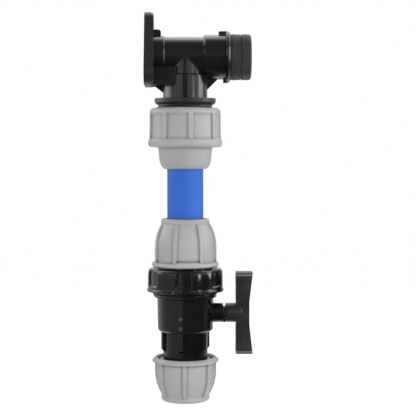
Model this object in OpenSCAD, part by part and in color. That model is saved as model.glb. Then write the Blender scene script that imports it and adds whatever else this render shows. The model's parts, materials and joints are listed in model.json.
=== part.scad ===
// Pipe stop valve: a wall-plate tee, a length of pipe and a union ball valve with compression ends.
// The origin is on the wall face of the plate, on the axis of the tee's run. +X leaves the wall, +Z is up.

/* [Supply pipe] */
// Outside diameter of the pipe that every compression end takes
pipe_d = 32; // [25:0.1:40]
// Wall thickness of the supply pipe
pipe_wall = 3; // [2:0.1:4]
// Cut length of the supply pipe between the tee and the valve
pipe_len = 154; // [125:1:400]

/* [Wall plate] */
// Thickness of the wall plate
plate_t = 8; // [5:0.5:12]
// Radius of the circle through the three screw holes
plate_hole_circle_r = 28.3; // [27:0.1:34]
// Radius of each lobe of the plate
plate_lobe_r = 11.1; // [8:0.1:14]
// Depth of the recessed step round the plate's front edge
plate_edge_step = 0.9; // [0.4:0.1:1.6]
// Diameter of the screw holes
screw_hole_d = 6; // [4:0.1:7]
// Diameter of the shallow seat for each screw head
screw_seat_d = 12; // [9:0.5:14]

/* [Tee run] */
// Distance from the wall to the vertical axis of the branch and the valve
branch_x = 35.7; // [33:0.1:45]
// How far the hub that joins the plate stands proud of the run
hub_proud = 1; // [0.4:0.1:3]
// Length of the hub in front of the plate
hub_len = 8.8; // [6:0.1:12]
// Diameter of the water way through the tee
tee_bore_d = 24; // [20:0.5:28]
// Wall of the run and of the branch's neck
run_wall = 5.6; // [4:0.1:7]
// Wall of the tee's mouth round the spigot's thread
mouth_wall = 4; // [3.2:0.1:6]
// Distance from the branch axis to the shoulder of the mouth
mouth_offset = 17.6; // [16:0.1:24]
// Length of the mouth from its shoulder to the collar
mouth_len = 18; // [14:0.1:24]
// Width of the chamfered shoulders along the run
shoulder_chamfer = 1.9; // [1:0.1:3]

/* [Outlet] */
// How far the lugged collar stands proud of the mouth
collar_proud = 3.3; // [2:0.1:5]
// Width of the lugged collar
collar_w = 4; // [3:0.1:6]
// Length of the upper lug on the collar
collar_lug_len = 6.2; // [3:0.1:9]
// How far the outlet spigot stands proud of the mouth
spigot_proud = 0.9; // [0:0.1:3]
// Visible length of the outlet spigot
spigot_len = 18.2; // [14:0.1:30]
// Diameter of the spigot's male thread inside the mouth
spigot_thread_d = 30.4; // [29:0.1:34]
// Length of the spigot's male thread
spigot_thread_len = 15; // [10:0.1:17]
// Tapping diameter of the outlet's own threaded hole
outlet_hole_d = 24.1; // [20:0.1:26]
// Depth of the outlet's threaded hole
outlet_hole_len = 16; // [10:0.1:17]

/* [Tee branch] */
// Drop from the run axis to the top of the branch socket
socket_drop = 16.2; // [14:0.1:20]
// Wall of the branch socket round the pipe
socket_wall = 3.2; // [2.4:0.1:5]
// Length of the branch socket
socket_len = 20.1; // [16:0.1:26]
// How far the stop collar stands proud of the tee's thread
stop_collar_proud = 2.1; // [1:0.1:4]
// Thickness of the stop collar
stop_collar_t = 5.3; // [3:0.1:7]
// Wall between the seal pocket and the root of the tee's thread
tee_thread_wall = 3.3; // [2:0.1:5]
// Length of the tee's compression thread
tee_thread_len = 26.4; // [24:0.1:30]
// Depth of the pipe stop inside the tee, below the run axis
tee_stop_drop = 34; // [30:0.1:38]
// Thickness of the side webs between the plate and the branch
web_t = 4; // [2.5:0.1:5]
// Reach of the side webs from the wall
web_reach = 27.3; // [22:0.1:28]

/* [Compression sets] */
// Section diameter of the pipe seals
seal_section = 3.8; // [3:0.1:4]
// Depth of the pocket that holds the seal and the thrust ring
seal_pocket_len = 10; // [9:0.1:12]
// Thickness of the flange on each thrust ring
thrust_flange_t = 2; // [1.5:0.1:2.5]
// Thickness of a grip ring at its wide end
grip_wide_t = 5.3; // [4.6:0.1:6]
// Thickness of a grip ring at its narrow end
grip_narrow_t = 1.8; // [1.4:0.1:3]
// Width of the slit in a grip ring
grip_slit = 4; // [2:0.5:6]
// Number of gripping teeth in a grip ring
grip_teeth = 5; // [3:1:7]

/* [Tee nut] */
// Wall of the tee nut over its ribs, outside the thread
tee_nut_wall = 6.6; // [5:0.1:9]
// Length of the tee nut
tee_nut_len = 53.6; // [52:0.1:60]
// How far the band round the tee nut stands proud of its ribs
tee_nut_band_proud = 1; // [0.5:0.1:3]
// Width of the raised band round the tee nut
tee_nut_band_w = 6.6; // [4:0.1:8]
// Wall of the plain sleeve at the pipe end of the tee nut
tee_nut_sleeve_wall = 7; // [6:0.1:9]
// Length of that sleeve beyond the band
tee_nut_sleeve_len = 19.5; // [14:0.1:24]

/* [Valve nuts] */
// How far the rim of the two domed nuts stands proud of their ribs
dome_rim_proud = 1.8; // [1:0.1:4]
// Thickness of the rim of the two domed nuts
dome_rim_t = 5; // [3:0.1:6]
// Wall of the two domed nuts over their ribs, outside the thread
dome_wall = 3.8; // [3:0.1:6]
// Wall of the lip at the pipe end of the two domed nuts
dome_lip_wall = 4.9; // [4:0.1:6]
// Width of that lip
dome_lip_w = 4.4; // [3:0.1:6]
// Length of the upper domed nut
upper_nut_len = 42.5; // [41:0.1:48]
// Length of the lower domed nut
lower_nut_len = 38.6; // [38:0.1:46]
// Wall between the seal pocket and the root of the valve's two compression threads
valve_thread_wall = 2.1; // [1.6:0.1:4]

/* [Nut ribs] */
// Number of ribs on the tee nut
tee_rib_count = 8; // [6:1:12]
// Number of ribs on each domed nut
dome_rib_count = 7; // [6:1:12]
// Width of each rib
rib_w = 3.8; // [2.5:0.1:5]
// Depth of the panels between the ribs
panel_depth = 1.7; // [0.6:0.1:2]

/* [Union] */
// Width of the shoulder on the tail that the union nut bears on
union_shoulder_w = 4.9; // [4.4:0.1:7]
// Wall of the union nut over its pads, outside the thread
union_nut_wall = 4.1; // [3:0.1:6]
// Height of the union nut
union_nut_len = 19.9; // [17:0.1:22]
// Number of pads round the union nut
union_pad_count = 6; // [5:1:10]
// Angle of each recess between two pads
union_recess_angle = 26; // [14:1:34]
// Thickness of the shoulder inside the union nut
union_shoulder_t = 3.1; // [2:0.1:4]
// Thickness of the flange on the union tail
tail_flange_t = 3.8; // [2.5:0.1:5]
// Depth from the tail's mouth to its pipe stop
tail_insert = 22.6; // [18:0.1:26]
// Distance from the tail's pipe stop to its lower face
tail_nose = 5; // [3:0.1:7]
// Section diameter of the union seal
union_seal_section = 2.2; // [1.8:0.1:2.4]

/* [Valve body] */
// Height of the valve's top face above the stem axis
body_rise = 32; // [30:0.1:36]
// Length of the union thread below the valve's top face
union_thread_len = 18.7; // [16:0.1:20]
// Wall of the valve body round the ball's chamber
body_wall = 5.4; // [4:0.1:8]
// Drop from the stem axis to the foot of the valve body
body_drop = 15.9; // [15.5:0.1:20]
// Wall of the lower socket round the pipe, between its ribs
low_socket_wall = 3.4; // [2.4:0.1:6]
// Length of the lower socket from the foot of the body to its thread
low_socket_len = 24.9; // [22:0.1:30]
// Length of the lower compression thread
low_thread_len = 16.8; // [16:0.1:20]
// Number of ribs round the lower socket
low_rib_count = 6; // [4:1:10]
// Height of those ribs
low_rib_h = 2.6; // [0.5:0.1:4]
// Width of those ribs
low_rib_w = 3.4; // [2:0.1:6]
// Depth from the lower mouth to its pipe stop
low_insert = 25.5; // [20:0.1:28]
// Length of the stem boss beyond the body
boss_len = 8.7; // [6:0.1:14]

/* [Ball and stem] */
// Diameter of the ball
ball_d = 37; // [34:0.1:42]
// Diameter of the water way through the ball and the seats
valve_bore_d = 24; // [20:0.1:26]
// Width of the ball seats outside the water way
seat_w = 5; // [4:0.1:6]
// Width of the seats' lip, from the water way to where it meets the ball
seat_lip_w = 2.7; // [2:0.1:3.4]
// Thickness of the ball seats
seat_t = 4.2; // [3.5:0.1:5]
// Wall of the seat carrier round the upper seat
carrier_wall = 4.7; // [3:0.1:5]
// Diameter of the stem shaft
stem_d = 12; // [10:0.1:14]
// Width of the thrust flange on the stem
stem_flange_w = 1.6; // [1.2:0.1:2]
// Depth of the four flats that make the square end
stem_flat = 2; // [1.8:0.1:2.5]
// Wall of the stem boss and of the handle's hub
boss_wall = 2.5; // [2:0.1:4]

/* [Handle] */
// Overall height of the T-handle
handle_h = 72.8; // [60:0.1:90]
// Distance from the end of the boss to the bar of the handle
handle_standoff = 11.5; // [10:0.1:16]
// Thickness of the handle's bar at its middle
handle_mid_t = 11.7; // [10:0.1:14]
// Thickness of the handle's bar at its tips
handle_tip_t = 14.6; // [12:0.1:18]
// Width of the handle's bar at its middle
handle_mid_w = 14; // [12:0.1:20]
// Width of the handle's bar at its tips
handle_tip_w = 19; // [14:0.1:26]
// Length of the flat stretch at the middle of the bar
handle_flat = 20; // [10:0.5:30]
// Radius of the bar's four corners, seen end on
handle_round = 3.4; // [3.1:0.1:5]
// Wall of the hollow behind each wing of the handle
handle_wall = 2.4; // [1.8:0.1:3]

/* [Clearances] */
// Gap between pieces that seat on each other
seat_gap = 0.3; // [0.2:0.05:0.4]
// Radial gap between a thread's crest and the nut that covers it
thread_gap = 0.3; // [0.2:0.05:0.5]
// Radial gap between the pipe and what it passes through
pipe_gap = 0.3; // [0.2:0.05:0.4]
// Radial running clearance of the stem in its boss
stem_gap = 0.08; // [0.03:0.01:0.1]
// Depth of the compression and union threads
thread_depth = 1.1; // [0.8:0.1:1.3]

/* [Hidden] */

$fn = 96;
cut = 1;

// Colours as the photograph shows them
tee_colour = [0.13, 0.13, 0.14];
spigot_colour = [0.24, 0.24, 0.25];
nut_colour = [0.66, 0.66, 0.66];
pipe_colour = [0.23, 0.43, 0.83];
valve_colour = [0.08, 0.08, 0.08];
handle_colour = [0.15, 0.15, 0.15];
ring_colour = [0.92, 0.92, 0.88];
rubber_colour = [0.05, 0.05, 0.05];

// Pipe, seals and threads
pipe_r = pipe_d / 2;
pipe_bore_r = pipe_r + pipe_gap;
pipe_hole_r = pipe_r + 2 * pipe_gap;
seal_pocket_r = pipe_hole_r + seal_section;
grip_wide_r = pipe_bore_r + grip_wide_t;
grip_narrow_r = pipe_bore_r + grip_narrow_t;
tee_root_r = seal_pocket_r + tee_thread_wall;
tee_crest_r = tee_root_r + thread_depth;
valve_root_r = seal_pocket_r + valve_thread_wall;
valve_crest_r = valve_root_r + thread_depth;

// The straight sides of the plate lie this much inside the lobes
side_inset = 0.03;

// Run of the tee, measured from the wall
run_d = tee_bore_d + 2 * run_wall;
hub_d = run_d + 2 * hub_proud;
mouth_d = spigot_thread_d + 2 * (thread_gap + mouth_wall);
collar_d = mouth_d + 2 * collar_proud;
spigot_d = mouth_d + 2 * spigot_proud;
hub_end_x = plate_t + hub_len;
mouth_start_x = branch_x + mouth_offset;
collar_x = mouth_start_x + mouth_len;
spigot_x = collar_x + collar_w;
outlet_end_x = spigot_x + spigot_len;
spigot_r = spigot_d / 2;
nose_wall = 2.3;
spigot_socket_r = spigot_thread_d / 2 + thread_gap;
nose_r = spigot_socket_r + nose_wall;
outlet_seal_section = 2.4;
collar_lug_w = 8;
collar_stop_len = 2.2;
lug_round = 1.6;

// Branch of the tee, measured down from the run axis
socket_r = pipe_bore_r + socket_wall;
stop_collar_r = tee_crest_r + stop_collar_proud;
stop_collar_z = -(socket_drop + socket_len);
tee_thread_z = stop_collar_z - stop_collar_t;
tee_mouth_z = tee_thread_z - tee_thread_len;
tee_stop_z = -tee_stop_drop;

// Compression sets: z = 0 at the mouth of the socket, z grows as the pipe leaves
seal_z = -seal_pocket_len + seat_gap + seal_section / 2;
thrust_z = -seal_pocket_len + 2 * seat_gap + seal_section;
flange_z = seat_gap;
grip_z = flange_z + thrust_flange_t + seat_gap;
nut_end_land = 4;

// Pipe and union
pipe_top_z = tee_stop_z - seat_gap;
pipe_bottom_z = pipe_top_z - pipe_len;
tail_stop_z = pipe_bottom_z - seat_gap;
tail_mouth_z = tail_stop_z + tail_insert;
tail_foot_z = tail_stop_z - tail_nose;
tail_flange_z = tail_foot_z + tail_flange_t;
tail_neck_r = valve_crest_r + thread_gap;
union_thread_r = tail_neck_r + union_shoulder_w;
union_bore_r = union_thread_r + thread_gap;
union_nut_r = union_bore_r + union_nut_wall;
union_top_z = tail_flange_z + seat_gap + union_shoulder_t;
union_foot_z = union_top_z - union_nut_len;
union_rim_w = 4.7;
union_crown_w = 1.8;
union_panel_depth = 1.4;

// Valve
valve_top_z = tail_foot_z - seat_gap;
stem_z = valve_top_z - body_rise;
low_thread_drop = body_drop + low_socket_len;
low_mouth_z = stem_z - low_thread_drop - low_thread_len;
low_stop_z = low_mouth_z + low_insert;
low_socket_r = pipe_bore_r + low_socket_wall;
ball_r = ball_d / 2;
chamber_gap = 0.8;
chamber_r = ball_r + chamber_gap;
body_r = chamber_r + body_wall;
way_r = valve_bore_d / 2;
seat_r = way_r + seat_w;
seat_offset = sqrt(pow(ball_r, 2) - pow(way_r + seat_lip_w, 2));
seat_pocket_r = seat_r + seat_gap;
carrier_r = seat_pocket_r + carrier_wall;
carrier_foot = seat_offset + seat_gap;
union_seal_r = (carrier_r + seat_gap + union_thread_r - thread_depth) / 2;

// Stem and handle, measured from the valve axis along +X
stem_r = stem_d / 2;
boss_r = stem_r + stem_gap + boss_wall;
boss_reach = body_r + boss_len;
stem_square = stem_d - 2 * stem_flat;
stem_flange_gap = 1;
stem_flange_x = ball_r + stem_flange_gap;
stem_flange_t = 2;
stem_flange_r = stem_r + stem_flange_w;
tang_t = 5;
tang_shoulder = 1.1;
tang_w = 2 * (stem_flange_r - tang_shoulder);
slot_floor_t = 1.6;
slot_depth_x = way_r + slot_floor_t;
stop_tooth_len = 2.6;
stop_tooth_angle = 40;
handle_turn = 90;
hub_gap = 2.2;
hub_x = boss_reach + hub_gap;
bar_x = boss_reach + handle_standoff;
handle_half = handle_h / 2;
stem_in_bar = 4;
stem_end_x = bar_x + stem_in_bar;
stem_seal_section = 1.4;
stem_groove_half = stem_seal_section / 2 + 0.1;
stem_seal_depth = 9;
stem_seal_step = 4;
stem_seal_places = [boss_reach - stem_seal_depth, boss_reach - stem_seal_depth + stem_seal_step];

// Nuts: how much of the tee's thread shows, the gap under the upper rim, the overlap of the lower rim
tee_thread_shown = 3.1;
upper_rim_gap = 1.7;
lower_rim_overlap = 1.6;
tee_grip_slack = 2;
tee_nut_r = tee_crest_r + thread_gap + tee_nut_wall;
tee_nut_band_r = tee_nut_r + tee_nut_band_proud;
tee_nut_sleeve_r = pipe_hole_r + tee_nut_sleeve_wall;
dome_body_r = valve_crest_r + thread_gap + dome_wall;
dome_rim_r = dome_body_r + dome_rim_proud;
dome_lip_r = pipe_hole_r + dome_lip_wall;
tee_nut_rim_z = -(tee_thread_len - tee_thread_shown);
upper_nut_rim_z = union_top_z + upper_rim_gap - tail_mouth_z;
lower_nut_rim_z = -(low_thread_len + lower_rim_overlap);
tee_grip_len = tee_nut_rim_z + tee_nut_len - nut_end_land - seat_gap - grip_z - tee_grip_slack;
rib_phase_tee = 8.8;
rib_phase_upper = -110.5;
rib_phase_lower = -92;

// Frames of reference
module on_branch(z) {
  translate([branch_x, 0, z]) children();
}

module tee_end() {
  on_branch(tee_mouth_z) mirror([0, 0, 1]) children();
}

module upper_end() {
  on_branch(tail_mouth_z) children();
}

module lower_end() {
  on_branch(low_mouth_z) mirror([0, 0, 1]) children();
}

module along_run() {
  rotate([0, 90, 0]) children();
}

module along_stem() {
  on_branch(stem_z) rotate([0, 90, 0]) children();
}

// A plain ring from z0 to z1
module ring(r_out, r_in, z0, z1) {
  translate([0, 0, z0]) difference() {
    cylinder(h = z1 - z0, r = r_out);
    translate([0, 0, -cut]) cylinder(h = z1 - z0 + 2 * cut, r = r_in);
  }
}

// A round seal of the given section
module o_ring(mid_r, section) {
  rotate_extrude() translate([mid_r, 0]) circle(d = section);
}

// Outline of the wall plate: three lobes joined by their tangents
function lobe_centre(i, circle_r) = [circle_r * cos(120 * i), circle_r * sin(120 * i)];

module plate_outline(circle_r, lobe_r) {
  side_r = lobe_r - side_inset;
  for (i = [0:2])
    translate(lobe_centre(i, circle_r)) circle(r = lobe_r);
  polygon([
    for (i = [0:2])
      for (side = [-60, 60])
        lobe_centre(i, circle_r) + side_r * [cos(120 * i + side), sin(120 * i + side)]
  ]);
}

// Local x of the plate outline is turned to +Z, so one lobe is at the top
module wall_plate() {
  front_t = plate_t / 4;
  difference() {
    rotate([0, 90, 0]) rotate([0, 0, 180]) union() {
      linear_extrude(plate_t - front_t) plate_outline(plate_hole_circle_r, plate_lobe_r);
      linear_extrude(plate_t) plate_outline(plate_hole_circle_r, plate_lobe_r - plate_edge_step);
    }
    for (i = [0:2])
      rotate([120 * i, 0, 0]) translate([0, 0, plate_hole_circle_r]) along_run() screw_hole();
  }
}

module screw_hole() {
  seat_depth = 1.5;
  translate([0, 0, -cut]) cylinder(h = plate_t + 2 * cut, d = screw_hole_d);
  translate([0, 0, plate_t - seat_depth]) cylinder(h = seat_depth + cut, d = screw_seat_d);
}

// Outside of the run: hub, run and mouth with chamfered shoulders
module run_outside() {
  hub_r = hub_d / 2;
  run_r = run_d / 2;
  mouth_r = mouth_d / 2;
  along_run() rotate_extrude() polygon([
    [0, plate_t / 2],
    [hub_r, plate_t / 2],
    [hub_r, hub_end_x],
    [run_r, hub_end_x + (hub_r - run_r)],
    [run_r, mouth_start_x - shoulder_chamfer],
    [mouth_r, mouth_start_x],
    [mouth_r, collar_x - seat_gap],
    [nose_r, collar_x - seat_gap],
    [nose_r, spigot_x - seat_gap],
    [0, spigot_x - seat_gap]
  ]);
}

// Outside of the branch: neck, socket, stop collar and thread root
module branch_outside() {
  run_r = run_d / 2;
  on_branch(0) rotate_extrude() polygon([
    [0, 0],
    [run_r, 0],
    [run_r, -socket_drop + (socket_r - run_r) / 2],
    [socket_r, -socket_drop],
    [socket_r, stop_collar_z],
    [stop_collar_r, stop_collar_z],
    [stop_collar_r, tee_thread_z + stop_collar_t / 3],
    [stop_collar_r - stop_collar_t / 3, tee_thread_z],
    [tee_root_r, tee_thread_z],
    [tee_root_r, tee_mouth_z],
    [0, tee_mouth_z]
  ]);
}

// Centre webs at 45 degrees between the run and the branch socket
module centre_webs() {
  centre_web_t = 3;
  left_web = [
    [plate_t / 2, 0],
    [plate_t / 2, -plate_hole_circle_r / 2 - plate_lobe_r / 2 - 2],
    [branch_x - socket_r, -plate_hole_circle_r / 2 - plate_lobe_r - 6],
    [branch_x, -plate_hole_circle_r / 2 - plate_lobe_r - 6],
    [branch_x, 0]
  ];
  right_web = [
    [branch_x, 0],
    [branch_x, -mouth_d / 2 - 9],
    [branch_x + socket_r, -mouth_d / 2 - 9],
    [branch_x + socket_r + 9, -mouth_d / 2],
    [branch_x + socket_r + 9, 0]
  ];
  for (outline = [left_web, right_web])
    translate([0, centre_web_t / 2, 0]) rotate([90, 0, 0]) linear_extrude(centre_web_t) polygon(outline);
}

// Side webs from the lower lobes of the plate to the branch, with a rounded corner
module side_webs() {
  web_round = 3.5;
  web_foot = plate_hole_circle_r / 2 + plate_lobe_r;
  web_top = hub_d / 4;
  seat_clear = 0.1;
  web_face = plate_hole_circle_r * cos(30) - screw_seat_d / 2 - seat_clear;
  for (side = [-1, 1])
    translate([0, side * (web_face - web_t / 2) + web_t / 2, 0])
      rotate([90, 0, 0]) linear_extrude(web_t) {
        translate([plate_t / 2, -web_foot + web_round])
          square([web_reach - plate_t / 2, web_foot - web_round - web_top]);
        translate([plate_t / 2, -web_foot])
          square([web_reach - plate_t / 2 - web_round, web_foot - web_top]);
        translate([web_reach - web_round, -web_foot + web_round]) circle(r = web_round);
      }
}

// Short rib on top of the hub, against the plate
module top_rib() {
  rib_len = 6.4;
  rib_rise = 5.4;
  rib_round = 2.2;
  top_rib_t = 5;
  top = hub_d / 2 + rib_rise;
  translate([0, top_rib_t / 2, 0]) rotate([90, 0, 0]) linear_extrude(top_rib_t) {
    translate([plate_t / 2, 0]) square([plate_t / 2 + rib_len, top - rib_round]);
    translate([plate_t / 2, 0]) square([plate_t / 2 + rib_len - rib_round, top]);
    translate([plate_t + rib_len - rib_round, top - rib_round]) circle(r = rib_round);
  }
}

// Mould ribs down the front and back of the neck and the socket
module parting_ribs() {
  rib_proud = 0.7;
  neck_rib_w = 1.8;
  socket_rib_w = 4.6;
  for (turn = [0, 180])
    on_branch(0) rotate([0, 0, turn]) {
      translate([-neck_rib_w / 2, 0, -socket_drop])
        cube([neck_rib_w, run_d / 2 + rib_proud, socket_drop - 2]);
      translate([-socket_rib_w / 2, 0, stop_collar_z - cut])
        cube([socket_rib_w, socket_r + rib_proud, socket_len + cut]);
    }
}

// Pocket, pipe bore and water way of a compression socket, in the compression frame
module compression_bore(stop_depth, inner_way_r, way_len) {
  translate([0, 0, -seal_pocket_len]) cylinder(h = seal_pocket_len + cut, r = seal_pocket_r);
  translate([0, 0, -stop_depth]) cylinder(h = stop_depth + cut, r = pipe_bore_r);
  translate([0, 0, -stop_depth - way_len]) cylinder(h = stop_depth + way_len + cut, r = inner_way_r);
}

module tee_body() {
  tee_way_r = tee_bore_d / 2;
  blind_x = hub_end_x;
  color(tee_colour) difference() {
    union() {
      wall_plate();
      run_outside();
      branch_outside();
      centre_webs();
      side_webs();
      top_rib();
      parting_ribs();
    }
    tee_end() compression_bore(tee_stop_z - tee_mouth_z, tee_way_r, tee_stop_drop);
    along_run() translate([0, 0, blind_x]) cylinder(h = spigot_x, r = tee_way_r);
    along_run() translate([0, 0, spigot_x - seat_gap - spigot_thread_len - cut])
      cylinder(h = spigot_thread_len + 2 * cut, r = spigot_socket_r);
  }
}

// Collar with a long lug on top and a short stop lug below
module outlet_collar() {
  collar_r = collar_d / 2;
  hole_r = nose_r + seat_gap;
  lug_x = collar_x - collar_lug_len;
  color(tee_colour) difference() {
    union() {
      along_run() rotate_extrude() polygon([
        [hole_r, collar_x],
        [collar_r - lug_round / 2, collar_x],
        [collar_r, collar_x + lug_round / 2],
        [collar_r, spigot_x - lug_round - seat_gap],
        [collar_r - lug_round, spigot_x - seat_gap],
        [hole_r, spigot_x - seat_gap]
      ]);
      intersection() {
        along_run() cylinder(h = spigot_x - lug_round - seat_gap, r = collar_r);
        union() {
          translate([lug_x + lug_round, -collar_lug_w / 2, 0])
            cube([collar_lug_len, collar_lug_w, collar_r]);
          translate([lug_x, -collar_lug_w / 2, 0])
            cube([collar_lug_len, collar_lug_w, collar_r - lug_round]);
          translate([lug_x + lug_round, 0, collar_r - lug_round]) rotate([90, 0, 0])
            cylinder(h = collar_lug_w, r = lug_round, center = true);
          translate([collar_x - collar_stop_len, -collar_lug_w / 2, -collar_r])
            cube([collar_stop_len + cut, collar_lug_w, collar_r]);
        }
      }
    }
    along_run() translate([0, 0, lug_x - cut])
      cylinder(h = collar_x - lug_x + cut, r = mouth_d / 2 + seat_gap);
    along_run() cylinder(h = spigot_x, r = hole_r);
  }
}

module outlet_spigot() {
  end_round = 2.6;
  bead_w = 0.9;
  bead_proud = 0.35;
  groove_w = 0.8;
  groove_depth = 0.7;
  thread_r = spigot_thread_d / 2;
  groove_share = 0.46;
  groove_at = spigot_x + spigot_len * groove_share;
  end_r = spigot_r - end_round;
  round_r = end_round - bead_proud;
  way_wall = 2;
  color(spigot_colour) difference() {
    along_run() rotate_extrude() polygon(concat(
      [
        [0, spigot_x - seat_gap - spigot_thread_len],
        [thread_r - 0.8, spigot_x - seat_gap - spigot_thread_len],
        [thread_r, spigot_x - seat_gap - spigot_thread_len + 0.8],
        [thread_r, spigot_x],
        [spigot_r - bead_proud - 0.5, spigot_x],
        [spigot_r - bead_proud, spigot_x + 0.5],
        [spigot_r - bead_proud, spigot_x + 2],
        [spigot_r, spigot_x + 2 + bead_proud],
        [spigot_r, spigot_x + 2 + bead_w],
        [spigot_r - bead_proud, spigot_x + 2 + bead_w + bead_proud],
        [spigot_r - bead_proud, groove_at],
        [spigot_r - bead_proud - groove_depth, groove_at + groove_depth / 2],
        [spigot_r - bead_proud - groove_depth, groove_at + groove_depth / 2 + groove_w],
        [spigot_r - bead_proud, groove_at + groove_depth + groove_w]
      ],
      [
        for (a = [0:15:90])
          [end_r + round_r * cos(a), outlet_end_x - end_round + end_round * sin(a)]
      ],
      [[0, outlet_end_x]]
    ));
    along_run() translate([0, 0, outlet_end_x - outlet_hole_len])
      cylinder(h = outlet_hole_len + cut, d = outlet_hole_d);
    along_run() translate([0, 0, collar_x - spigot_thread_len])
      cylinder(h = outlet_end_x, r = outlet_hole_d / 2 - way_wall);
    along_run() translate([0, 0, spigot_x]) outlet_seal_groove();
  }
}

// Groove in the spigot's flange for its face seal
module outlet_seal_groove() {
  groove_r = nose_r - nose_wall / 2;
  half = outlet_seal_section / 2 + seat_gap / 2;
  ring(groove_r + half, groove_r - half, -cut, outlet_seal_section);
}

module outlet_seal() {
  color(rubber_colour) along_run() translate([0, 0, spigot_x + outlet_seal_section / 2 - seat_gap / 2])
    o_ring(nose_r - nose_wall / 2, outlet_seal_section);
}

// Compression set
module seal_ring_shape() {
  color(rubber_colour) translate([0, 0, seal_z]) o_ring(pipe_bore_r + seal_section / 2, seal_section);
}

module thrust_ring_shape(flange_r) {
  color(ring_colour) union() {
    ring(seal_pocket_r - pipe_gap, pipe_bore_r, thrust_z, flange_z + thrust_flange_t);
    ring(flange_r, pipe_bore_r, flange_z, flange_z + thrust_flange_t);
  }
}

// Split collet: a cone outside, saw teeth inside
module grip_ring_shape(grip_len) {
  tooth_depth = 0.9;
  pitch = (grip_len - 2) / grip_teeth;
  color(ring_colour) translate([0, 0, grip_z]) difference() {
    rotate_extrude() polygon(concat(
      [
        [pipe_bore_r + tooth_depth, 0],
        [grip_wide_r, 0],
        [grip_wide_r, 1],
        [grip_narrow_r, grip_len],
        [pipe_bore_r, grip_len]
      ],
      [
        for (i = [grip_teeth - 1:-1:0])
          for (p = [[pipe_bore_r + tooth_depth, 1 + (i + 0.9) * pitch], [pipe_bore_r, 1 + i * pitch]])
            p
      ]
    ));
    translate([0, -grip_slit / 2, -cut]) cube([2 * grip_wide_r, grip_slit, grip_len + 2 * cut]);
  }
}

// Inside of a nut: thread bore, cone over the grip ring, and the hole for the pipe
module nut_bore(crest_r, rim_z, grip_len, nut_end) {
  bore_r = crest_r + thread_gap;
  cone_end = grip_z + grip_len + seat_gap;
  rotate_extrude() polygon([
    [0, rim_z - cut],
    [bore_r, rim_z - cut],
    [bore_r, grip_z],
    [grip_wide_r + seat_gap, grip_z],
    [grip_wide_r + seat_gap, grip_z + 1],
    [grip_narrow_r + seat_gap, cone_end],
    [pipe_hole_r, cone_end],
    [pipe_hole_r, nut_end + cut],
    [0, nut_end + cut]
  ]);
}

// Ribs that follow the nut's own outline
module rib_fins(z0, z1, reach, count, phase) {
  for (i = [0:count - 1])
    rotate([0, 0, phase + i * 360 / count]) translate([0, -rib_w / 2, z0]) cube([reach, rib_w, z1 - z0]);
}

// Outline of the tee nut with its panels sunk by the given depth
function tee_nut_outline(sink) = let (
  z0 = tee_nut_rim_z,
  r = tee_nut_r,
  sleeve_r = tee_nut_sleeve_r,
  end_z = tee_nut_rim_z + tee_nut_len,
  band_end = end_z - tee_nut_sleeve_len,
  band_z = band_end - tee_nut_band_w,
  band_r = tee_nut_band_r
) [
  [0, z0],
  [r - 3.2, z0],
  [r - 0.9, z0 + 1.5],
  [r - 0.3, z0 + 3.8],
  [r - 0.3, z0 + 5],
  [r - 0.3 - sink, z0 + 5 + sink],
  [r - sink, band_z - sink],
  [r, band_z],
  [band_r - 0.6, band_z],
  [band_r, band_z + 0.8],
  [band_r, band_end - 1.6],
  [band_r - 1.4, band_end],
  [sleeve_r + 0.8, band_end + 0.4],
  [sleeve_r, band_end + 1.6],
  [sleeve_r - 0.4, end_z - tee_nut_sleeve_len * 0.59],
  [sleeve_r - 0.8, end_z - tee_nut_sleeve_len * 0.36],
  [sleeve_r - 1.5, end_z - 2.6],
  [sleeve_r - 2.2, end_z - 1],
  [sleeve_r - 3.2, end_z],
  [0, end_z]
];

module tee_nut() {
  end_z = tee_nut_rim_z + tee_nut_len;
  color(nut_colour) tee_end() difference() {
    union() {
      rotate_extrude() polygon(tee_nut_outline(panel_depth));
      intersection() {
        rotate_extrude() polygon(tee_nut_outline(0));
        rib_fins(tee_nut_rim_z, end_z, 2 * tee_nut_r, tee_rib_count, rib_phase_tee);
      }
    }
    nut_bore(tee_crest_r, tee_nut_rim_z, tee_grip_len, end_z);
  }
}

// Outline of a domed nut: rim, nearly straight body, dome and lip
function dome_r(t, r0, r1, power) = r0 - (r0 - r1) * pow(t, power);

function dome_nut_outline(rim_z, len, power, sink) = let (
  r0 = dome_body_r,
  lip_r = dome_lip_r,
  rim_r = dome_rim_r,
  dome_start = dome_rim_t + (len - dome_rim_t - dome_lip_w) * 0.25,
  dome_end = len - dome_lip_w,
  steps = 10
) concat(
  [
    [0, rim_z],
    [rim_r - 0.5, rim_z],
    [rim_r, rim_z + 0.6],
    [rim_r, rim_z + dome_rim_t - 0.8],
    [rim_r - 0.8, rim_z + dome_rim_t],
    [r0 + 0.2 - sink, rim_z + dome_rim_t]
  ],
  [
    for (i = [0:steps])
      [
        dome_r(i / steps, r0, lip_r + 0.3, power) - sink,
        rim_z + dome_start + (dome_end - dome_start) * i / steps
      ]
  ],
  [
    [lip_r, rim_z + dome_end + sink],
    [lip_r, rim_z + len - 1.4],
    [lip_r - 1.4, rim_z + len],
    [0, rim_z + len]
  ]
);

module dome_nut(rim_z, len, power, phase) {
  grip_len = rim_z + len - nut_end_land - seat_gap - grip_z;
  color(nut_colour) difference() {
    union() {
      rotate_extrude() polygon(dome_nut_outline(rim_z, len, power, panel_depth));
      intersection() {
        rotate_extrude() polygon(dome_nut_outline(rim_z, len, power, 0));
        rib_fins(rim_z, rim_z + len, 2 * dome_rim_r, dome_rib_count, phase);
      }
    }
    nut_bore(valve_crest_r, rim_z, grip_len, rim_z + len);
  }
}

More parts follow.
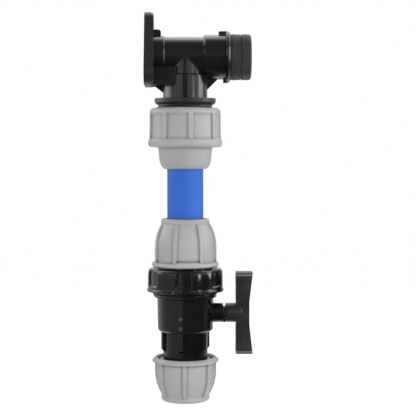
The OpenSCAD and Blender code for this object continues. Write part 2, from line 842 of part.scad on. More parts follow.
// Raised block on the rim of the upper nut, between the two ribs at the front
module rim_block(rim_z, phase) {
  block_h = 1.2;
  block_angle = 0.8 * 360 / dome_rib_count;
  block_sink = 0.6;
  panel_mid = phase + 180 / dome_rib_count;
  color(nut_colour) rotate([0, 0, panel_mid - block_angle / 2])
    rotate_extrude(angle = block_angle)
      translate([dome_body_r - panel_depth - block_sink, rim_z + dome_rim_t - block_sink])
        square([dome_rim_proud + panel_depth, block_h + block_sink]);
}

module upper_nut() {
  upper_end() union() {
    dome_nut(upper_nut_rim_z, upper_nut_len, 2.85, rib_phase_upper);
    rim_block(upper_nut_rim_z, rib_phase_upper);
  }
}

module lower_nut() {
  lower_end() dome_nut(lower_nut_rim_z, lower_nut_len, 2.4, rib_phase_lower);
}

module tee_grip_ring() {
  tee_end() grip_ring_shape(tee_grip_len);
}

module upper_grip_ring() {
  upper_end() grip_ring_shape(upper_nut_rim_z + upper_nut_len - nut_end_land - seat_gap - grip_z);
}

module lower_grip_ring() {
  lower_end() grip_ring_shape(lower_nut_rim_z + lower_nut_len - nut_end_land - seat_gap - grip_z);
}

module tee_thrust_ring() {
  tee_end() thrust_ring_shape(tee_root_r);
}

module upper_thrust_ring() {
  upper_end() thrust_ring_shape(valve_root_r);
}

module lower_thrust_ring() {
  lower_end() thrust_ring_shape(valve_root_r);
}

module tee_seal_ring() {
  tee_end() seal_ring_shape();
}

module upper_seal_ring() {
  upper_end() seal_ring_shape();
}

module lower_seal_ring() {
  lower_end() seal_ring_shape();
}

module supply_pipe() {
  color(pipe_colour) on_branch(0) ring(pipe_r, pipe_r - pipe_wall, pipe_bottom_z, pipe_top_z);
}

// End piece that the union nut clamps: thread, neck and flange
module union_tail() {
  flange_r = union_bore_r - seat_gap;
  thread_foot_z = union_top_z + upper_rim_gap;
  color(valve_colour) difference() {
    on_branch(0) rotate_extrude() polygon([
      [0, tail_foot_z],
      [flange_r, tail_foot_z],
      [flange_r, tail_flange_z],
      [tail_neck_r, tail_flange_z],
      [tail_neck_r, thread_foot_z - seat_gap],
      [valve_root_r, thread_foot_z - seat_gap],
      [valve_root_r, tail_mouth_z],
      [0, tail_mouth_z]
    ]);
    upper_end() compression_bore(tail_insert, way_r, tail_nose + cut);
  }
}

// Outline of the union nut over its pads
module union_nut_outline() {
  r = union_nut_r;
  polygon([
    [0, union_foot_z],
    [r + 0.4, union_foot_z],
    [r + 0.8, union_foot_z + 0.5],
    [r + 0.8, union_foot_z + 1.7],
    [r + 0.2, union_foot_z + 2.4],
    [r, union_foot_z + 3.4],
    [r, union_top_z - 1.2],
    [r - 1.2, union_top_z],
    [0, union_top_z]
  ]);
}

// Section of the panel that is sunk between two pads
module union_panel_section() {
  r = union_nut_r;
  polygon([
    [r - union_panel_depth, union_foot_z + union_rim_w + union_panel_depth],
    [r + 1, union_foot_z + union_rim_w - 1],
    [r + 1, union_top_z - union_crown_w + 1],
    [r - union_panel_depth, union_top_z - union_crown_w - union_panel_depth]
  ]);
}

module union_nut() {
  // The middle of one recess lies 2 degrees left of the front
  first_recess = -92 - union_recess_angle / 2;
  lead_in = 1;
  color(valve_colour) on_branch(0) difference() {
    rotate_extrude() union_nut_outline();
    for (i = [0:union_pad_count - 1])
      rotate([0, 0, first_recess + i * 360 / union_pad_count])
        rotate_extrude(angle = union_recess_angle) union_panel_section();
    translate([0, 0, union_foot_z - cut])
      cylinder(h = union_nut_len - union_shoulder_t + cut, r = union_bore_r);
    translate([0, 0, union_foot_z - cut]) cylinder(h = lead_in + cut, r = union_bore_r + lead_in / 2);
    translate([0, 0, union_foot_z]) cylinder(h = union_nut_len + cut, r = tail_neck_r + thread_gap);
  }
}

module union_seal() {
  color(rubber_colour) on_branch(valve_top_z + seat_gap / 2 - union_seal_section / 2)
    o_ring(union_seal_r, union_seal_section);
}

// Outside of the valve body, measured up and down from the stem axis
module valve_outside() {
  union_root_r = union_thread_r - thread_depth;
  thread_foot = body_rise - union_thread_len;
  low_mouth = low_mouth_z - stem_z;
  foot_chamfer = 1.7;
  on_branch(stem_z) rotate_extrude() polygon([
    [0, body_rise],
    [union_root_r - 0.5, body_rise],
    [union_root_r, body_rise - 0.5],
    [union_root_r, thread_foot + 1.2],
    [body_r + 0.2, thread_foot],
    [body_r - 0.3, -body_drop + foot_chamfer],
    [body_r - foot_chamfer, -body_drop],
    [low_socket_r, -body_drop - 0.5],
    [low_socket_r, -low_thread_drop],
    [valve_root_r, -low_thread_drop],
    [valve_root_r, low_mouth],
    [0, low_mouth]
  ]);
}

// Ribs down the lower socket, chamfered at their foot
module low_socket_ribs() {
  rib_foot = -low_thread_drop + 9.5;
  rib_r = low_socket_r + low_rib_h;
  rib_phase = -100;
  on_branch(stem_z) intersection() {
    rotate_extrude() polygon([
      [0, -body_drop + 2],
      [rib_r, -body_drop + 2],
      [rib_r, rib_foot],
      [low_socket_r - 0.5, rib_foot - low_rib_h - 0.5],
      [0, rib_foot - low_rib_h - 0.5]
    ]);
    for (i = [0:low_rib_count - 1])
      rotate([0, 0, rib_phase + i * 360 / low_rib_count])
        translate([0, -low_rib_w / 2, -low_thread_drop]) cube([body_r, low_rib_w, low_thread_drop]);
  }
}

// Gate pips on the front of the body
module body_pips() {
  pip_x = -4.3;
  pip_d = 3.5;
  pip_z = -2.7;
  foot_pip_z = -12.6;
  pip_proud = 0.9;
  pip_y = sqrt(body_r * body_r - pip_x * pip_x) + pip_proud;
  on_branch(stem_z) {
    translate([pip_x, 0, pip_z]) rotate([90, 0, 0]) cylinder(h = pip_y, d = pip_d);
    translate([pip_x - pip_d / 4, -pip_y, foot_pip_z]) cube([pip_d / 2, pip_y, 3]);
  }
}

// Clears the end of the boss all round, but for the tooth that stops the handle
module tooth_clearance() {
  along_stem() translate([0, 0, boss_reach]) rotate([0, 0, stop_tooth_angle / 2])
    rotate_extrude(angle = 360 - stop_tooth_angle) square([2 * boss_r, stop_tooth_len + cut]);
}

module valve_body() {
  chamber_top = carrier_foot - seat_gap;
  flange_pocket = stem_flange_x + stem_flange_t + seat_gap;
  color(valve_colour) difference() {
    union() {
      valve_outside();
      low_socket_ribs();
      body_pips();
      along_stem() translate([0, 0, chamber_r])
        cylinder(h = boss_reach + stop_tooth_len - chamber_r, r = boss_r);
    }
    lower_end() compression_bore(low_insert, way_r, low_insert);
    on_branch(stem_z) {
      translate([0, 0, -seat_offset]) cylinder(h = seat_offset + chamber_top, r = chamber_r);
      translate([0, 0, -seat_offset - seat_t - seat_gap])
        cylinder(h = seat_t + 2 * seat_gap, r = seat_pocket_r);
      translate([0, 0, -body_drop - low_insert]) cylinder(h = body_drop + low_insert, r = way_r);
      translate([0, 0, chamber_top]) cylinder(h = body_rise, r = carrier_r + seat_gap);
    }
    along_stem() cylinder(h = flange_pocket, r = stem_flange_r + seat_gap);
    along_stem() cylinder(h = boss_reach + stop_tooth_len + cut, r = stem_r + stem_gap);
    tooth_clearance();
    on_branch(valve_top_z - union_seal_section) union_seal_groove();
  }
}

// Groove in the valve's top face for the union seal
module union_seal_groove() {
  half = union_seal_section / 2 + seat_gap / 2;
  ring(union_seal_r + half, union_seal_r - half, 0, union_seal_section + cut);
}

// Threaded ring that holds the upper seat, with two key slots on top
module seat_carrier() {
  key_w = 5;
  key_depth = 3;
  top = body_rise - seat_gap;
  color(handle_colour) on_branch(stem_z) difference() {
    ring(carrier_r, way_r, carrier_foot, top);
    translate([0, 0, carrier_foot - cut]) cylinder(h = seat_t + seat_gap + cut, r = seat_pocket_r);
    translate([-carrier_r - cut, -key_w / 2, top - key_depth])
      cube([2 * (carrier_r + cut), key_w, key_depth + cut]);
  }
}

// Seat ring with a spherical face towards the ball
module seat_shape() {
  seat_ball_gap = 0.15;
  color(ring_colour) difference() {
    ring(seat_r, way_r, seat_offset, seat_offset + seat_t);
    sphere(r = ball_r + seat_ball_gap);
  }
}

module upper_seat() {
  on_branch(stem_z) translate([0, 0, seat_gap]) seat_shape();
}

module lower_seat() {
  on_branch(stem_z) mirror([0, 0, 1]) seat_shape();
}

module ball() {
  slot_w = tang_t + 2 * stem_gap;
  color(ring_colour) on_branch(stem_z) difference() {
    sphere(r = ball_r);
    cylinder(h = ball_d + 2 * cut, r = way_r, center = true);
    translate([slot_depth_x, -ball_r, -slot_w / 2]) cube([ball_r, ball_d, slot_w]);
  }
}

// Stem: tang, thrust flange, grooved shaft and square end
module stem() {
  tang_x = slot_depth_x + seat_gap;
  color(handle_colour) difference() {
    union() {
      on_branch(stem_z) intersection() {
        translate([tang_x, -tang_w / 2, -tang_t / 2]) cube([stem_flange_x - tang_x + cut, tang_w, tang_t]);
        rotate([0, 90, 0]) cylinder(h = stem_end_x, r = tang_w / 2);
      }
      along_stem() translate([0, 0, stem_flange_x]) cylinder(h = stem_flange_t, r = stem_flange_r);
      along_stem() translate([0, 0, stem_flange_x]) cylinder(h = hub_x - stem_flange_x, r = stem_r);
      on_branch(stem_z) translate([hub_x - cut, -stem_square / 2, -stem_square / 2])
        cube([stem_end_x - hub_x + cut, stem_square, stem_square]);
    }
    for (x = stem_seal_places)
      along_stem() translate([0, 0, x])
        ring(stem_r + cut, stem_r - stem_seal_section, -stem_groove_half, stem_groove_half);
  }
}

module stem_seals() {
  color(rubber_colour)
    for (x = stem_seal_places)
      along_stem() translate([0, 0, x]) o_ring(stem_r - stem_seal_section / 2, stem_seal_section - 0.1);
}

// Side view of the bar: flat towards the valve, thicker towards its tips on the far side
module bar_side_outline(wall) {
  reach = handle_half - wall;
  flat = handle_flat / 2;
  slope = (handle_tip_t - handle_mid_t) / (handle_half - flat);
  mid_x = bar_x + handle_mid_t - wall;
  tip_x = mid_x + slope * (reach - flat);
  polygon([[bar_x, reach], [bar_x, -reach], [tip_x, -reach], [mid_x, -flat], [mid_x, flat], [tip_x, reach]]);
}

waist_power = 1.6;

function bar_half_width(z) =
  (handle_mid_w + (handle_tip_w - handle_mid_w) * pow(abs(z) / handle_half, waist_power)) / 2;

// Front view of the bar: waisted, with rounded corners
module bar_front_outline(wall) {
  steps = 12;
  corner_r = handle_round - wall;
  corner_z = handle_half - handle_round;
  corner_y = bar_half_width(corner_z) - handle_round;
  side = [for (i = [-steps:steps]) let (z = i / steps * corner_z) [bar_half_width(z) - wall, z]];
  arc = [for (a = [15:15:90]) [corner_y + corner_r * cos(a), corner_z + corner_r * sin(a)]];
  right = concat([for (i = [len(arc) - 1:-1:0]) [arc[i][0], -arc[i][1]]], side, arc);
  polygon(concat(right, [for (i = [len(right) - 1:-1:0]) [-right[i][0], right[i][1]]]));
}

// Bar of the handle: the side view crossed with the front view
module handle_bar(wall) {
  intersection() {
    translate([0, handle_tip_w, 0]) rotate([90, 0, 0])
      linear_extrude(2 * handle_tip_w) bar_side_outline(wall);
    rotate([90, 0, 90]) linear_extrude(bar_x + 2 * handle_tip_t) bar_front_outline(wall);
  }
}

// Hollow behind each wing, with a cross rib left in it
module handle_hollow() {
  cross_rib_t = 2;
  inner = boss_r + 1.5;
  difference() {
    translate([-cut, 0, 0]) handle_bar(handle_wall);
    translate([0, -handle_tip_w, -inner]) cube([2 * bar_x, 2 * handle_tip_w, 2 * inner]);
    for (side = [-1, 1])
      translate([0, -handle_tip_w, side * (inner + handle_half) / 2 - cross_rib_t / 2])
        cube([2 * bar_x, 2 * handle_tip_w, cross_rib_t]);
  }
}

// Slot in the hub that the stop tooth runs in over the handle's turn
module stop_slot() {
  slack = 2;
  slot_angle = stop_tooth_angle + handle_turn + 2 * slack;
  along_stem() translate([0, 0, hub_x - cut])
    rotate([0, 0, -stop_tooth_angle / 2 - slack - handle_turn])
      rotate_extrude(angle = slot_angle)
        translate([stem_r, 0]) square([boss_r, boss_reach + stop_tooth_len + seat_gap * 2 - hub_x + cut]);
}

// Section of the hub, with a rounded end where it stands proud of the bar
module hub_outline() {
  hub_round = 2;
  hub_end = bar_x + handle_mid_t / 2;
  polygon(concat(
    [[0, hub_x], [boss_r, hub_x]],
    [for (a = [0:15:90]) [boss_r - hub_round * (1 - cos(a)), hub_end - hub_round * (1 - sin(a))]],
    [[0, hub_end]]
  ));
}

module handle() {
  socket = stem_square + 2 * stem_gap;
  color(handle_colour) difference() {
    union() {
      along_stem() rotate_extrude() hub_outline();
      on_branch(stem_z) handle_bar(0);
    }
    on_branch(stem_z) handle_hollow();
    on_branch(stem_z) translate([hub_x - cut, -socket / 2, -socket / 2])
      cube([stem_end_x + seat_gap - hub_x + cut, socket, socket]);
    stop_slot();
  }
}

tee_body();
outlet_collar();
outlet_spigot();
outlet_seal();
tee_nut();
tee_grip_ring();
tee_thrust_ring();
tee_seal_ring();
supply_pipe();
upper_nut();
upper_grip_ring();
upper_thrust_ring();
upper_seal_ring();
union_tail();
union_nut();
union_seal();
valve_body();
seat_carrier();
upper_seat();
lower_seat();
ball();
stem();
stem_seals();
handle();
lower_nut();
lower_grip_ring();
lower_thrust_ring();
lower_seal_ring();
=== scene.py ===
"""Looks of the pipe stop valve: finishes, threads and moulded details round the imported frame."""
import json
import math

import bmesh
import bpy
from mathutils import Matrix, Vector


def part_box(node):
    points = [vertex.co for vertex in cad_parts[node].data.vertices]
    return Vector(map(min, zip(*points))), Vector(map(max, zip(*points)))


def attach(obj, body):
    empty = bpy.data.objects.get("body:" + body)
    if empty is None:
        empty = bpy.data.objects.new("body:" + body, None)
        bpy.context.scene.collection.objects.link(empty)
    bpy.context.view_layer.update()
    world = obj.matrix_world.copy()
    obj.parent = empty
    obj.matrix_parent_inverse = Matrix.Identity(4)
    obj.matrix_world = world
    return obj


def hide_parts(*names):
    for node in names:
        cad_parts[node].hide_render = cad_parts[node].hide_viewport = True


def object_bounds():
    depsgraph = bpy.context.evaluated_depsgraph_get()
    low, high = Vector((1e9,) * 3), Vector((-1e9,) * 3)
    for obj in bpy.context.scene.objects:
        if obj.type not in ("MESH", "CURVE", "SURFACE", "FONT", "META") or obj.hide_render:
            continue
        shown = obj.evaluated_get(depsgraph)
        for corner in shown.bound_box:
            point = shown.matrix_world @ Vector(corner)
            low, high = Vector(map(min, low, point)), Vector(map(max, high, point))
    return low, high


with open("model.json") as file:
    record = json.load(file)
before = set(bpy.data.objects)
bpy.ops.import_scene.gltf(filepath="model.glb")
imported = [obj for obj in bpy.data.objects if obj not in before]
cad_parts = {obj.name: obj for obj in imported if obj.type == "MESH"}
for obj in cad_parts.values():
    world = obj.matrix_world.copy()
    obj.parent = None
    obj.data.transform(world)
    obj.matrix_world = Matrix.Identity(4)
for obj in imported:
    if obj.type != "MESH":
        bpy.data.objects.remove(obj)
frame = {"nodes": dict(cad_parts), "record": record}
cad_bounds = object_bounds()
nodes = frame["nodes"]
scene = bpy.context.scene
MM = 0.001


# Places and sizes taken from the frame
def low(node):
    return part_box(node)[0]


def high(node):
    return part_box(node)[1]


AXIS_X = (low("supply_pipe").x + high("supply_pipe").x) / 2
STEM_Z = (low("stem").z + high("stem").z) / 2
PIPE_R = (high("supply_pipe").x - low("supply_pipe").x) / 2 / MM


# Node helpers for materials
def new_material(name):
    material = bpy.data.materials.new(name)
    material.use_nodes = True
    tree = material.node_tree
    shader = tree.nodes["Principled BSDF"]
    return material, tree, shader


def add(tree, kind, **values):
    node = tree.nodes.new(kind)
    for key, value in values.items():
        setattr(node, key, value)
    return node


def noise(tree, coords, scale, detail, roughness=0.5, stretch=None):
    """A noise texture in object space, in features per metre, stretched along an axis if asked."""
    source = coords
    if stretch is not None:
        mapping = add(tree, "ShaderNodeMapping")
        mapping.inputs["Scale"].default_value = stretch
        tree.links.new(coords, mapping.inputs["Vector"])
        source = mapping.outputs["Vector"]
    texture = add(tree, "ShaderNodeTexNoise")
    texture.inputs["Scale"].default_value = scale
    texture.inputs["Detail"].default_value = detail
    texture.inputs["Roughness"].default_value = roughness
    tree.links.new(source, texture.inputs["Vector"])
    return texture.outputs["Fac"]


def ramp(tree, value, from_low, from_high, to_low, to_high):
    node = add(tree, "ShaderNodeMapRange")
    node.inputs["From Min"].default_value = from_low
    node.inputs["From Max"].default_value = from_high
    node.inputs["To Min"].default_value = to_low
    node.inputs["To Max"].default_value = to_high
    tree.links.new(value, node.inputs["Value"])
    return node.outputs["Result"]


def spread(tree, value, low_value, high_value):
    """Maps the middle of a noise to the range from low_value to high_value."""
    return ramp(tree, value, 0.3, 0.7, low_value, high_value)


def combine(tree, operation, a, b):
    node = add(tree, "ShaderNodeMath", operation=operation)
    tree.links.new(a, node.inputs[0])
    tree.links.new(b, node.inputs[1])
    return node.outputs["Value"]


def mix_colours(tree, factor, colour_a, colour_b):
    node = add(tree, "ShaderNodeMix", data_type="RGBA")
    node.inputs["A"].default_value = (*colour_a, 1)
    node.inputs["B"].default_value = (*colour_b, 1)
    tree.links.new(factor, node.inputs["Factor"])
    return node.outputs["Result"]


def cover(tree, factor, colour, over):
    """The colour of a socket, with another laid over it where factor is 1."""
    node = add(tree, "ShaderNodeMix", data_type="RGBA")
    tree.links.new(factor, node.inputs["Factor"])
    tree.links.new(colour, node.inputs["A"])
    node.inputs["B"].default_value = (*over, 1)
    return node.outputs["Result"]


def bump(tree, height, distance, normal):
    node = add(tree, "ShaderNodeBump")
    node.inputs["Distance"].default_value = distance
    tree.links.new(height, node.inputs["Height"])
    tree.links.new(normal, node.inputs["Normal"])
    return node.outputs["Normal"]


def grey(value):
    return (value, value, value * 1.01)


# Moulded finishes: the scales of their marks and relief, in features per metre
CLOUD_SCALE = 45
WEAR_SCALE = 130
WAVE_SCALE = 90
GRAIN_SCALE = 2600
# How far painted shade reaches from a corner, in mm, and how open the place is where it is full and where it
# ends
CORNER_SHADE_REACH = 3.0
CORNER_SHADE_FULL_AT = 0.5
CORNER_SHADE_NONE_AT = 0.95


def moulded_plastic(
        name, dark, light, rough, grain=0.02, wave=0.03, edge=0.35, specular=0.5, flow=None, painted_corner_shade=None):
    """Injection-moulded plastic: flow marks in the colour, fine grain, slight sink waves and soft edges.

    dark and light are the two ends of the colour and rough is the range of roughness. grain and wave are the
    heights of the fine and the broad relief and edge is the radius of the moulded edges, all in mm. flow
    stretches the marks along an axis, and the last argument is the colour of the painted shade laid into
    narrow corners, if there is any.
    """
    material, tree, shader = new_material(name)
    coords = add(tree, "ShaderNodeTexCoord").outputs["Object"]
    clouds = noise(tree, coords, CLOUD_SCALE, 4, 0.55, flow)
    colour = mix_colours(tree, spread(tree, clouds, 0, 1), dark, light)
    # Painted shade: the colour darkens to the given shade where ambient occlusion finds a narrow corner
    if painted_corner_shade:
        corners = add(tree, "ShaderNodeAmbientOcclusion", samples=8)
        corners.inputs["Distance"].default_value = CORNER_SHADE_REACH * MM
        painted_shade_mask = ramp(tree, corners.outputs["AO"], CORNER_SHADE_FULL_AT, CORNER_SHADE_NONE_AT, 1, 0)
        colour = cover(tree, painted_shade_mask, colour, painted_corner_shade)
    tree.links.new(colour, shader.inputs["Base Color"])
    wear = noise(tree, coords, WEAR_SCALE, 5, 0.6, flow)
    tree.links.new(spread(tree, wear, *rough), shader.inputs["Roughness"])
    rounded = add(tree, "ShaderNodeBevel", samples=4)
    rounded.inputs["Radius"].default_value = edge * MM
    broad = bump(tree, noise(tree, coords, WAVE_SCALE, 2), wave * MM, rounded.outputs["Normal"])
    fine = bump(tree, noise(tree, coords, GRAIN_SCALE, 2), grain * MM, broad)
    tree.links.new(fine, shader.inputs["Normal"])
    shader.inputs["Specular IOR Level"].default_value = specular
    return material


def object_place(tree):
    place = add(tree, "ShaderNodeSeparateXYZ")
    tree.links.new(add(tree, "ShaderNodeTexCoord").outputs["Object"], place.inputs["Vector"])
    return place


# Zones with a finish of their own, and the band of painted highlight at the handle tips; their limits and the
# blur at them are in mm
ZONE_BLUR = 0.25
PLATE_FRONT_X = 8.2
STOP_COLLAR_TOP_Z = -36.2
# Where the band of painted highlight at each handle tip starts and ends, counted from the stem
TIP_HIGHLIGHT_START = 33.3
TIP_HIGHLIGHT_END = 34.8


def past(tree, value, limit):
    """Turns from 0 to 1 as value passes limit, in mm."""
    return ramp(tree, value, (limit - ZONE_BLUR) * MM, (limit + ZONE_BLUR) * MM, 0, 1)


def short_of(tree, value, limit):
    """Turns from 1 to 0 as value passes limit, in mm."""
    return ramp(tree, value, (limit - ZONE_BLUR) * MM, (limit + ZONE_BLUR) * MM, 1, 0)


def dull_zone(material, zone, colour, rough):
    """Lays a duller finish and another colour over a material where zone is 1."""
    tree = material.node_tree
    shader = tree.nodes["Principled BSDF"]
    base = shader.inputs["Base Color"].links[0].from_socket
    tree.links.new(cover(tree, zone, base, colour), shader.inputs["Base Color"])
    dull = add(tree, "ShaderNodeMix", data_type="FLOAT")
    dull.inputs["B"].default_value = rough
    tree.links.new(zone, dull.inputs["Factor"])
    tree.links.new(shader.inputs["Roughness"].links[0].from_socket, dull.inputs["A"])
    tree.links.new(dull.outputs["Result"], shader.inputs["Roughness"])


def matte_plate_and_collar(material):
    """The wall plate and the collar over the thread come duller from the mould than the run."""
    tree = material.node_tree
    place = object_place(tree)
    zone = combine(tree, "MAXIMUM", short_of(tree, place.outputs["X"], PLATE_FRONT_X),
                   short_of(tree, place.outputs["Z"], STOP_COLLAR_TOP_Z))
    dull_zone(material, zone, grey(0.015), 0.45)


def painted_tip_highlights(material):
    """Painted highlight: the handle is a paler, duller grey in a narrow band at each tip, as far above the
    stem as below.
    """
    tree = material.node_tree
    from_stem = add(tree, "ShaderNodeMath", operation="SUBTRACT")
    tree.links.new(object_place(tree).outputs["Z"], from_stem.inputs[0])
    from_stem.inputs[1].default_value = STEM_Z
    reach = add(tree, "ShaderNodeMath", operation="ABSOLUTE")
    tree.links.new(from_stem.outputs["Value"], reach.inputs[0])
    distance = reach.outputs["Value"]
    band = combine(
        tree, "MULTIPLY", past(tree, distance, TIP_HIGHLIGHT_START), short_of(tree, distance, TIP_HIGHLIGHT_END))
    dull_zone(material, band, grey(0.14), 0.5)


# The finish of each material slot
FINISHES = {
    "tee_plastic": dict(
        dark=grey(0.006), light=grey(0.010), rough=(0.16, 0.26), grain=0.003, wave=0.04),
    "spigot_plastic": dict(
        dark=grey(0.028), light=grey(0.038), rough=(0.50, 0.62), grain=0.012, specular=0.3),
    # The nuts get painted shade in the narrow corners beside their ribs
    "nut_plastic": dict(
        dark=(0.355, 0.355, 0.358), light=(0.40, 0.40, 0.403), rough=(0.34, 0.46),
        grain=0.006, edge=0.2, specular=0.4, painted_corner_shade=(0.07, 0.07, 0.07)),
    "pipe_plastic": dict(
        dark=(0.030, 0.126, 0.54), light=(0.036, 0.140, 0.58), rough=(0.42, 0.54),
        grain=0.004, wave=0.02, specular=0.2, flow=(1, 1, 0.12)),
    "valve_plastic": dict(
        dark=grey(0.004), light=grey(0.008), rough=(0.12, 0.22), grain=0.003, wave=0.05),
    "handle_plastic": dict(
        dark=grey(0.008), light=grey(0.026), rough=(0.26, 0.44), grain=0.010, wave=0.10, specular=0.4),
    "ring_plastic": dict(
        dark=(0.78, 0.78, 0.73), light=(0.84, 0.84, 0.80), rough=(0.30, 0.42), edge=0.2),
    "seal_rubber": dict(
        dark=grey(0.012), light=grey(0.020), rough=(0.60, 0.75), edge=0.1),
}
MATERIALS = {slot: moulded_plastic(slot, **finish) for slot, finish in FINISHES.items()}
matte_plate_and_collar(MATERIALS["tee_plastic"])
painted_tip_highlights(MATERIALS["handle_plastic"])
# The gate marks' material: dull like real gate marks, with a pale grey that is painted highlight
GATE_MARK_HIGHLIGHT = moulded_plastic("gate_mark", grey(0.035), grey(0.060), (0.55, 0.70), grain=0.02, edge=0.15)

SLOT_OF_NODE = {row["node"]: row["material_slot"] for row in frame["record"]["subparts"]}


def dress_frame():
    """Gives each CAD node the finish of its material slot."""
    for name, obj in nodes.items():
        obj.data.materials.clear()
        obj.data.materials.append(MATERIALS[SLOT_OF_NODE[name]])


# Mesh helpers
def finish_piece(name, mesh_data, body, slot, replaced=()):
    obj = bpy.data.objects.new(name, mesh_data)
    scene.collection.objects.link(obj)
    obj.data.materials.append(MATERIALS[slot])
    for polygon in obj.data.polygons:
        polygon.use_smooth = True
    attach(obj, body)
    if replaced:
        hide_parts(*replaced)
    return obj


def rings_to_mesh(name, rings, close_ring=True, close_rows=False, cap=False):
    """A mesh through rows of points; each row is a ring, unless close_ring is off."""
    bm = bmesh.new()
    rows = [[bm.verts.new(p) for p in ring] for ring in rings]
    count = len(rows[0])
    span = count if close_ring else count - 1
    followers = rows[1:] + rows[:1] if close_rows else rows[1:]
    for a, b in zip(rows, followers):
        for i in range(span):
            j = (i + 1) % count
            bm.faces.new((a[i], a[j], b[j], b[i]))
    if cap:
        bm.faces.new(list(reversed(rows[0])))
        bm.faces.new(rows[-1])
    bmesh.ops.recalc_face_normals(bm, faces=bm.faces)
    mesh = bpy.data.meshes.new(name)
    bm.to_mesh(mesh)
    bm.free()
    return mesh


def ease(t):
    """Rises from 0 to 1 with level ends."""
    t = min(max(t, 0.0), 1.0)
    return t * t * (3 - 2 * t)


def rounded_outline(points, reach):
    """The outline with each corner between its ends cut back by up to reach and drawn as a curve."""
    longest_share = 0.45
    steps = 3
    out = [points[0]]
    for before, corner, after in zip(points, points[1:], points[2:]):
        corner = Vector(corner)
        ends = []
        for other in (Vector(before), Vector(after)):
            side = other - corner
            cut = min(reach, side.length * longest_share)
            ends.append(corner + side.normalized() * cut if side.length > 0 else corner.copy())
        for i in range(steps + 1):
            t = i / steps
            out.append(tuple(ends[0].lerp(corner, t).lerp(corner.lerp(ends[1], t), t)))
    out.append(points[-1])
    return out


# Nuts: a lathe whose outline changes between the ribs
def rib_columns(count, phase, r_mm, top_half, foot_half, extra=()):
    """Angles round a nut with the share of the rib's outline at each, close together on the rib's sides.

    extra names further angles in degrees that need a column of their own.
    """
    pitch = 2 * math.pi / count
    first = math.radians(phase)
    side_steps = 6
    panel_steps = 5
    side = [top_half + (foot_half - top_half) * k / side_steps for k in range(side_steps + 1)]
    half = [d / r_mm for d in [0, top_half * 0.6] + side + [foot_half + 0.4]]
    panel = [half[-1] + (pitch / 2 - half[-1]) * k / panel_steps for k in range(1, panel_steps + 1)]
    right = half + panel
    offsets = [-d for d in reversed(right[1:-1])] + right
    angles = [first + pitch * i + d for i in range(count) for d in offsets]
    angles += [first + (math.radians(a) - first) % (2 * math.pi) for a in extra]
    columns = []
    for angle in sorted(angles):
        away = abs((angle - first + pitch / 2) % pitch - pitch / 2) * r_mm
        columns.append((angle, 1 - ease((away - top_half) / (foot_half - top_half))))
    return columns


def pad_columns(count, middle, half_recess, wall):
    """Angles round the union nut with 1 over a pad and 0 in a recess; the arguments are in degrees."""
    half_pitch = 180 / count
    flat = half_recess - wall
    flat_steps, wall_steps, pad_steps = 3, 4, 6
    right = [flat * k / flat_steps for k in range(flat_steps)]
    right += [flat + wall * k / wall_steps for k in range(wall_steps + 1)]
    right += [half_recess + (half_pitch - half_recess) * k / pad_steps for k in range(1, pad_steps + 1)]
    offsets = [-d for d in reversed(right[1:-1])] + right
    return [(math.radians(middle + 360 * i / count + d), ease((abs(d) - flat) / wall))
            for i in range(count) for d in offsets]


def turned_piece(name, body, slot, replaced, columns, crest, floor, inside, z_start, direction, lift=None):
    """A closed nut: crest and floor are the outlines over and between the ribs, inside(angle) is its bore.

    lift(angle, r, z) may raise a point of the outside.
    """
    rings = []
    for angle, share in columns:
        c, s = math.cos(angle), math.sin(angle)
        outline = [tuple(f + (k - f) * share for k, f in zip(top, foot)) for top, foot in zip(crest, floor)]
        if lift:
            outline = [(r, z + lift(angle, r, z)) for r, z in outline]
        outline += inside(angle)
        rings.append([(AXIS_X + r * MM * c, r * MM * s, z_start + direction * z * MM) for r, z in outline])
    return finish_piece(name, rings_to_mesh(name, rings, close_rows=True), body, slot, replaced)


NUT_THREAD_PITCH = 4.0
NUT_THREAD_DEPTH = 0.7
UNION_THREAD_PITCH = 3.2
THREAD_ROWS = 8
THREAD_FADE_ROWS = 3


def thread_rows(bore_r, depth, pitch, turns, mouth, twist):
    """The outline of a female thread, from its deep end out to mouth, at the angle twist."""
    rows = turns * THREAD_ROWS
    root = 0.4
    points = []
    for i in range(rows, -1, -1):
        z = mouth + i * pitch / THREAD_ROWS
        wave = math.cos(2 * math.pi * z / pitch - twist)
        fade = min(1.0, i / THREAD_FADE_ROWS, (rows - i) / THREAD_FADE_ROWS)
        points.append((bore_r - depth * fade * max(0.0, wave - root) / (1 - root), z))
    return points


def nut_inside(bore_r, length, grip_at, grip_r, cone_r, cone_end, hole_r, direction):
    """Bore of a compression nut from its pipe end back to its mouth, with the first turns of its thread."""
    mouth = 2.0
    lead = 1.6
    turns = 3

    def inside(angle):
        points = [(hole_r + 1.2, length), (hole_r, length - 1.2), (hole_r, cone_end), (cone_r, cone_end),
                  (grip_r, grip_at + 1), (grip_r, grip_at), (bore_r, grip_at)]
        points += thread_rows(bore_r, NUT_THREAD_DEPTH, NUT_THREAD_PITCH, turns, mouth, direction * angle)
        points += [(bore_r, mouth - 0.3), (bore_r + lead, 0.25), (bore_r + lead + 0.4, 0)]
        return points

    return inside


def tee_nut_outline(sink):
    """Outline of the tee nut from its mouth over its ribs, its band and its sleeve."""
    r, band_r, sleeve_r = 31.7, 32.7, 23.6
    end = (high("tee_nut").z - low("tee_nut").z) / MM
    band_end = end - 19.5
    band = band_end - 6.6
    points = [
        (28.3, 0), (30.6, 1.3), (r - 0.3, 3.6), (r - 0.3, 4.6),
        (r - 0.3 - sink, 4.9 + sink), (r - sink, band - 0.3 - sink * 0.7), (r, band),
        (band_r - 0.5, band + 0.1), (band_r, band + 1),
        (band_r, band_end - 1.7), (band_r - 1.5, band_end), (sleeve_r + 0.7, band_end + 0.5),
        (sleeve_r, band_end + 1.8), (sleeve_r - 0.4, end - 11.5), (sleeve_r - 0.9, end - 7.2),
        (sleeve_r - 1.8, end - 4), (sleeve_r - 3.4, end - 1.5), (sleeve_r - 5.2, end),
    ]
    return rounded_outline(points, 0.7)


DOME_RIM_T = 4.2


